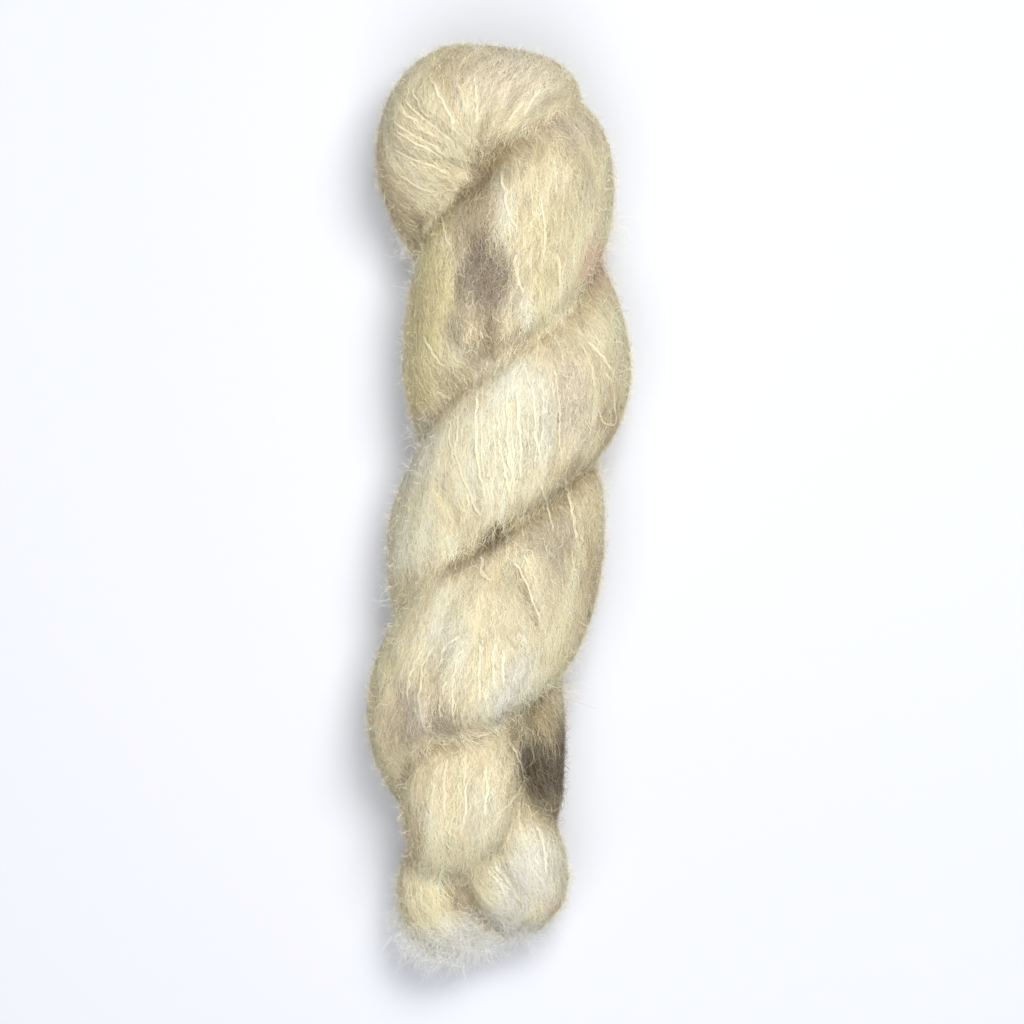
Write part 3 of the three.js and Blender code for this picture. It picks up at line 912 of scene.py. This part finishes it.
def standing_turns(rng, steps):
    """The places on the body that the standing turns run through, and the faces that they are on."""
    places, met = [], []
    for rows in STANDING_TURNS:
        course = smooth_through(np.pad(np.array(rows, float), ((0, 0), (0, 1))), 8)
        length = np.r_[0, np.cumsum(np.linalg.norm(np.diff(course, axis=0), axis=1))]
        at = np.linspace(0, length[-1], steps)
        wave = wander(rng, 1, steps, length[-1] / 9, 0.14)[0]
        beside, down = np.interp(at, length, course[:, 0]) + wave, np.interp(at, length, course[:, 1])
        hits = [body_tree.ray_cast((x, TOP_END - y, 90), (0, 0, -1)) for x, y in zip(beside, down)]
        places.append([hit[0] for hit in hits])
        met.append([hit[2] for hit in hits])
    return np.array(places), np.array(met)


def yarn_turns(name, count, steps, pace, thick, seed):
    """Turns of yarn, each of a few strands that wander side by side."""
    rng = np.random.default_rng(seed)
    spot, face, _ = scattered(TRIED, seed)
    headings = wander(rng, TRIED, steps - 1, 3.0, 0.1)
    places, _, met = walked(spot, face, headings, pace * rng.uniform(0.7, 1.3, TRIED))
    kept = side_by_side(places, count)
    standing, standing_met = standing_turns(rng, steps)
    places = np.concatenate([standing, places[kept]])
    met = np.concatenate([standing_met, met[kept]])
    stands = np.arange(len(places)) < len(standing)
    copies = np.where(stands, STANDING_STRANDS, TURN_STRANDS)
    places, met, stands = [np.repeat(v, copies, axis=0) for v in (places, met, stands)]
    stands = stands[:, None]
    out = face_normals[met]
    aside = unit(np.cross(np.gradient(places, axis=1), out))
    count = len(places)
    share = np.linspace(0, 1, steps)
    clear = np.where(stands, 0.95, 0.7 * clear_of_fibres(places))
    ends = np.minimum(1, 8 * np.minimum(share, 1 - share))
    rise = ends * (0.3 + 0.95 * clear + 0.08 * stands) - 0.4 + rng.uniform(-0.15, 0.15, (count, 1))
    wide = np.where(stands, STANDING_SPREAD, TURN_SPREAD)
    drift = rng.uniform(-1.2, 1.2, (count, 1)) * wide + wander(rng, count, steps, 3.0, 0.6) * wide
    paths = places + out * rise[..., None] + aside * drift[..., None]
    half = thick / 2 * rng.uniform(0.7, 1.25, (count, 1)) * (1 + wander(rng, count, steps, 5.0, 0.1))
    own = body_colour[faces[met][..., 0]]
    standing_bright, other_bright = rng.uniform(0.2, 0.66, (count, 1)), rng.uniform(-0.3, 0.6, (count, 1))
    bright = clear * np.where(stands, standing_bright, other_bright)
    colours = own * (1 - bright[..., None]) + np.array(BRIGHT_TURN) * bright[..., None]
    return thread_piece(name, paths, half, out, np.minimum(colours, 0.97))


def brushed_fibre(name):
    """A single mohair fibre's gloss and colour."""
    material, tree = new_material(name)
    dyed_and_painted_light = wire(tree, "ShaderNodeAttribute", {"attribute_name": "dye_and_painted_light"}).outputs["Color"]
    shader = wire(tree, "ShaderNodeBsdfPrincipled", {}, Base_Color=dyed_and_painted_light, Roughness=0.7,
                  Specular_IOR_Level=0.3)
    wire(tree, "ShaderNodeOutputMaterial", {}, Surface=shader.outputs[0])
    return material


turns = yarn_turns("yarn_turns", count=620, steps=26, pace=1.7, thick=0.25, seed=11)
turns.data.materials.append(brushed_fibre("yarn_thread"))
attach(turns, "root")

# Brushing pulls fine mohair fibres out of the yarn. Most lie matted over the turns, curled and
# crossed, in the colour of the yarn that they come from, painted shade included, and some paler, as
# painted light that they catch. The twist holds their roots.
FIBRE_PALE = (0.97, 0.92, 0.73)
STAND_OUT = 0.16  # the share of the fibres that catch the light most
CURLY_ELSEWHERE = 0.45
# Places where the fibres curl across each other most. Columns: across, down and reach.
CURLY_PLACES = [(-4, 68, 14), (-6, 38, 8), (14, 214, 9), (-20, 204, 10), (15, 147, 11), (24, 30, 10)]


def curliness(places):
    """How much the fibres curl at some places, 1 being most."""
    beside, down = from_head(places)
    curly = np.full(len(places), CURLY_ELSEWHERE)
    for x, y, reach in CURLY_PLACES:
        curly = np.maximum(curly, np.exp(-((beside - x) ** 2 + (down - y) ** 2) / reach**2))
    return curly[:, None]


def fibre_colours(rng, spot, lie, steps, pale, light=FIBRE_PALE):
    """The fibres' colours: the yarn's colour at their roots with its painted shade, more or less bright
    from lock to lock, and paler by a share between two bounds, as painted light that they catch."""
    across, along, groove_shade = lie.T
    own = dye_and_painted_light(spot, across, along, groove_shade * 0.9)
    lock = streaks(across, along, 0.7, 6, 51) - 0.5 + 0.6 * (streaks(across, along, 2.6, 26, 53) - 0.5)
    bright = 1 + 0.5 * lock[:, None] + rng.normal(0, 0.12, (len(own), 1))
    own_lightness = own.mean(axis=1, keepdims=True)
    share = rng.uniform(*pale, (len(own), 1)) * (0.15 + own_lightness)
    stands_out = rng.random((len(own), 1)) < STAND_OUT
    share = np.where(stands_out, pale[1] * np.minimum(0.35 + 0.95 * own_lightness, 1), share)
    colours = (own * (1 - share) + np.array(light) * share) * bright
    return np.repeat(np.clip(colours, 0.02, 0.97)[:, None], steps, axis=1)


def in_rows(count, seed, sides=1.0):
    """Scattered places, sorted in rows across the hank."""
    spot, face, lie = scattered(count, seed, sides)
    order = np.lexsort((spot[:, 0], spot[:, 1] // 1.5))
    return spot[order], face[order], lie[order]


fibre_finish = brushed_fibre("mohair_fibre")


def fibre_piece(name, paths, half_wide, facing, colours):
    """A piece of loose fibres, finished as mohair."""
    piece = thread_piece(name, paths, half_wide, facing, colours)
    piece.data.materials.append(fibre_finish)
    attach(piece, "root")


def matted_fibres(name, count, steps, length, wide, lift, seed):
    """Fibres that lie flat on the turns, along them or across them."""
    rng = np.random.default_rng(seed)
    spot, face, lie = in_rows(count, seed)
    curly = curliness(spot)
    lock = (streaks(lie[:, 0], lie[:, 1], 4, 20, 52) - 0.5)[:, None]
    crossing = rng.random((count, 1)) < 0.15 + 0.4 * curly
    across_it, along_it = rng.normal(0, 0.8, (count, 1)), lock * 0.8 + rng.normal(0, 0.2, (count, 1))
    start = np.where(crossing, across_it, along_it)
    curl = rng.normal(0, 0.3, (count, 1)) * (1 + 2 * curly)
    headings = start + curl * np.linspace(-1, 1, steps - 1) + rng.normal(0, 0.1, (count, steps - 1))
    pace = rng.uniform(*length, count) * (1.15 - 0.5 * curly[:, 0]) / (steps - 1)
    places, out, _ = walked(spot, face, headings, pace)
    share = np.linspace(0, 1, steps)
    arch = np.sin(math.pi * share * rng.uniform(0.6, 1, (count, 1)))
    rise = 0.02 + arch * rng.gamma(2.0, lift / 2, (count, 1))
    half = np.tile(wide / 2, (count, steps)) * rng.uniform(0.6, 1.4, (count, 1))
    colours = fibre_colours(rng, spot, lie, steps, (0.0, 0.3))
    fibre_piece(name, places + out * rise[..., None], half, out, colours)


matted_fibres("matted_fibres", count=48600, steps=4, length=(4, 9), wide=0.11, lift=0.6, seed=21)

# Over the mat lie longer mohair fibres in loose curled locks, as the brush left them. Each is held
# at its root in the yarn, and waves across the turns with its tip free.


def curled_fibres(name, count, steps, length, wide, lift, seed):
    """Fibres in loose locks that wave over the mat."""
    rng = np.random.default_rng(seed)
    spot, face, lie = in_rows(count, seed)
    curly = curliness(spot)
    long = rng.uniform(*length, (count, 1))
    share = np.linspace(0, 1, steps - 1)
    phase = 2 * math.pi * (share * long / rng.uniform(2.4, 6, (count, 1)) + rng.random((count, 1)))
    sway = rng.uniform(0.3, 1.0, (count, 1)) * (0.5 + curly) * np.sin(phase)
    bend = rng.normal(0, 0.5, (count, 1)) * (share - 0.5)
    headings = rng.normal(0, 0.18, (count, 1)) * (1 + 2.4 * curly) + bend + sway
    places, out, _ = walked(spot, face, headings, long[:, 0] / (steps - 1))
    arch = np.sin(math.pi * np.linspace(0, 1, steps))
    rise = 0.15 + arch * rng.uniform(0.3, 1.0, (count, 1)) * lift
    half = np.tile(wide / 2, (count, steps)) * rng.uniform(0.5, 1.4, (count, 1))
    colours = fibre_colours(rng, spot, lie, steps, (0.0, 0.7))
    fibre_piece(name, places + out * rise[..., None], half, out, colours)


for k in range(2):
    curled_fibres(f"curled_fibres_{k + 1}", count=16200, steps=8, length=(4, 9), wide=0.12, lift=0.6,
                  seed=27 + k)

# The finest fibres stand off the hank all round as a haze of curls. They are rooted in the yarn at
# one end and free at the other.


def free_fibres(name, rng, spot, face, lie, way, length, steps, wide, pale, light=FIBRE_PALE):
    """Fibres that leave the body at some spots, and curl as they go."""
    count = len(spot)
    out = face_normals[face]
    curl_axis, curl = unit(rng.normal(size=(count, 3))), rng.normal(0, 3.2 / (steps - 1), (count, 1))
    pace = length[:, None] / (steps - 1)
    places = [spot - out * 0.3]
    for _ in range(steps - 1):
        way = unit(way + np.cross(curl_axis, way) * curl + rng.normal(0, 0.25, (count, 3)) - out * 0.08)
        places.append(places[-1] + way * pace)
    half = np.tile(wide / 2, (count, steps)) * rng.uniform(0.6, 1.3, (count, 1))
    facing = np.repeat(unit(rng.normal(0, 0.5, (count, 1, 3)) + [0, 0, 1]), steps, axis=1)
    colours = fibre_colours(rng, spot, lie, steps, pale, light)
    fibre_piece(name, np.stack(places, axis=1), half, facing, colours)


def haze(name, count, steps, wide, length, seed):
    """Fibres that stand off every which way."""
    rng = np.random.default_rng(seed)
    spot, face, lie = in_rows(count, seed, sides=3.0)
    out, flow = face_normals[face], face_runs[face]
    turn = rng.uniform(0, 2 * math.pi, (count, 1))
    lift = rng.uniform(0.3, 1.1, (count, 1))
    way = unit(out * lift + flow * np.cos(turn) + np.cross(out, flow) * np.sin(turn))
    long = rng.uniform(*length, count)
    free_fibres(name, rng, spot, face, lie, way, long, steps, wide, (0.1, 0.7))


haze("fibre_haze", count=30000, steps=5, wide=0.065, length=(1.5, 5.5), seed=31)

# Longer pale wisps of the same fibres have been pulled out here and there, and most of all at the
# foot, where they make a soft tuft. Columns: across, down, height, the way they reach across and
# down, how many, and how long.
WISPS = [
    (35, 56, 22, 1, 0.2, 200, 10), (36, 62, 24, 1, 0.6, 160, 10), (-28, 62, 22, -1, 0.6, 160, 8),
    (-26, 118, 22, -1, 0.4, 180, 8), (-32, 164, 24, -1, -0.5, 120, 8), (30, 126, 24, 1, 0.5, 200, 8),
    (22, 192, 22, 1, 0.5, 240, 10), (24, 184, 24, 1, 0.2, 160, 8), (-17, 263, 20, -0.25, 1, 1700, 12),
    (-22, 263, 18, -0.35, 1, 1100, 8.5), (-8, 264, 17, 0.1, 1, 1300, 10), (5, 261, 16, 0.4, 1, 900, 8),
    (17, 256, 12, 1, 0.7, 200, 4), (-12, 1, 24, -0.3, -1, 120, 4), (8, 2, 24, 0.5, -1, 120, 4),
]
ROOTS_APART = 3.5  # how far the roots of one row's wisps are spread
# The wisps are painted paler still, as painted light that they catch.
WISP_PALE = (0.97, 0.965, 0.91)


def wisps(name, steps, wide, seed):
    """Loose wisps of fibre, rooted where the hank is nearest."""
    rng = np.random.default_rng(seed)
    roots, ways, lengths = [], [], []
    for x, y, z, right, fall, count, long in WISPS:
        roots.append(np.array([x, TOP_END - y, z]) + rng.normal(0, ROOTS_APART, (count, 3)))
        ways.append(np.array([right, -fall, 0.1]) + rng.normal(0, 0.5, (count, 3)))
        lengths.append(long * rng.uniform(0.4, 1.2, count))
    spot, face = nearest(body_tree, np.vstack(roots))
    way, long, root_lie = unit(np.vstack(ways)), np.hstack(lengths), lie[faces[face][:, 0]]
    free_fibres(name, rng, spot, face, root_lie, way, long, steps, wide, (0.6, 1.0), WISP_PALE)


wisps("fibre_wisps", steps=8, wide=0.055, seed=32)

# The floor is a plain pale sheet, matt and wide enough to show no edge.
FLOOR_SIZE = 6.0  # in metres, as are the lamps' places and the camera's height
floor_mesh = bpy.data.meshes.new("floor")
side = FLOOR_SIZE / 2
floor_corners = [(-side, -side, 0), (side, -side, 0), (side, side, 0), (-side, side, 0)]
floor_mesh.from_pydata(floor_corners, [], [(0, 1, 2, 3)])
floor = bpy.data.objects.new("floor", floor_mesh)
bpy.context.scene.collection.objects.link(floor)
floor_paint, floor_tree = new_material("floor_paint")
paint = wire(floor_tree, "ShaderNodeBsdfPrincipled", {}, Base_Color=(0.80, 0.82, 0.88, 1), Roughness=0.9)
wire(floor_tree, "ShaderNodeOutputMaterial", {}, Surface=paint.outputs[0])
floor_mesh.materials.append(floor_paint)

# Soft studio light: a large lamp up at the right of the head, a fainter and wider one at the foot,
# and an even pale surround.
scene = bpy.context.scene


def lamp(name, place, size, watts, colour, aim=(0, 0, 0.02)):
    """A square lamp that shines at a place on the hank."""
    light = bpy.data.lights.new(name, "AREA")
    light.size = size
    light.energy = watts
    light.color = colour
    made = bpy.data.objects.new(name, light)
    scene.collection.objects.link(made)
    made.location = place
    away = made.location - type(made.location)(aim)
    made.rotation_euler = away.to_track_quat("Z", "Y").to_euler()


lamp("key", place=(0.25, 0.43, 1.22), size=0.55, watts=12.0, colour=(1.0, 0.985, 0.95))
lamp("fill", place=(-0.1, -0.4, 1.3), size=1.0, watts=8.8, colour=(0.99, 0.99, 1.0))
world = bpy.data.worlds.new("surround")
world.use_nodes = True
world.node_tree.nodes["Background"].inputs["Color"].default_value = (0.93, 0.95, 1.0, 1)
world.node_tree.nodes["Background"].inputs["Strength"].default_value = 0.22
scene.world = world
scene.view_settings.view_transform = "Standard"

# The camera looks straight down on the hank.
CAMERA_HEIGHT = 2.0
PICTURE_ACROSS = 4.2  # the place under the middle of the picture, across and down from the head
PICTURE_DOWN = 139.5
PICTURE_WIDE = 0.3072
SENSOR = 36
camera_data = bpy.data.cameras.new("camera")
camera_data.sensor_width = SENSOR
camera_data.lens = SENSOR * (CAMERA_HEIGHT - AXIS_HEIGHT * MM) / PICTURE_WIDE
camera = bpy.data.objects.new("camera", camera_data)
camera.location = (PICTURE_ACROSS * MM, (TOP_END - PICTURE_DOWN) * MM, CAMERA_HEIGHT)
scene.collection.objects.link(camera)
scene.camera = camera
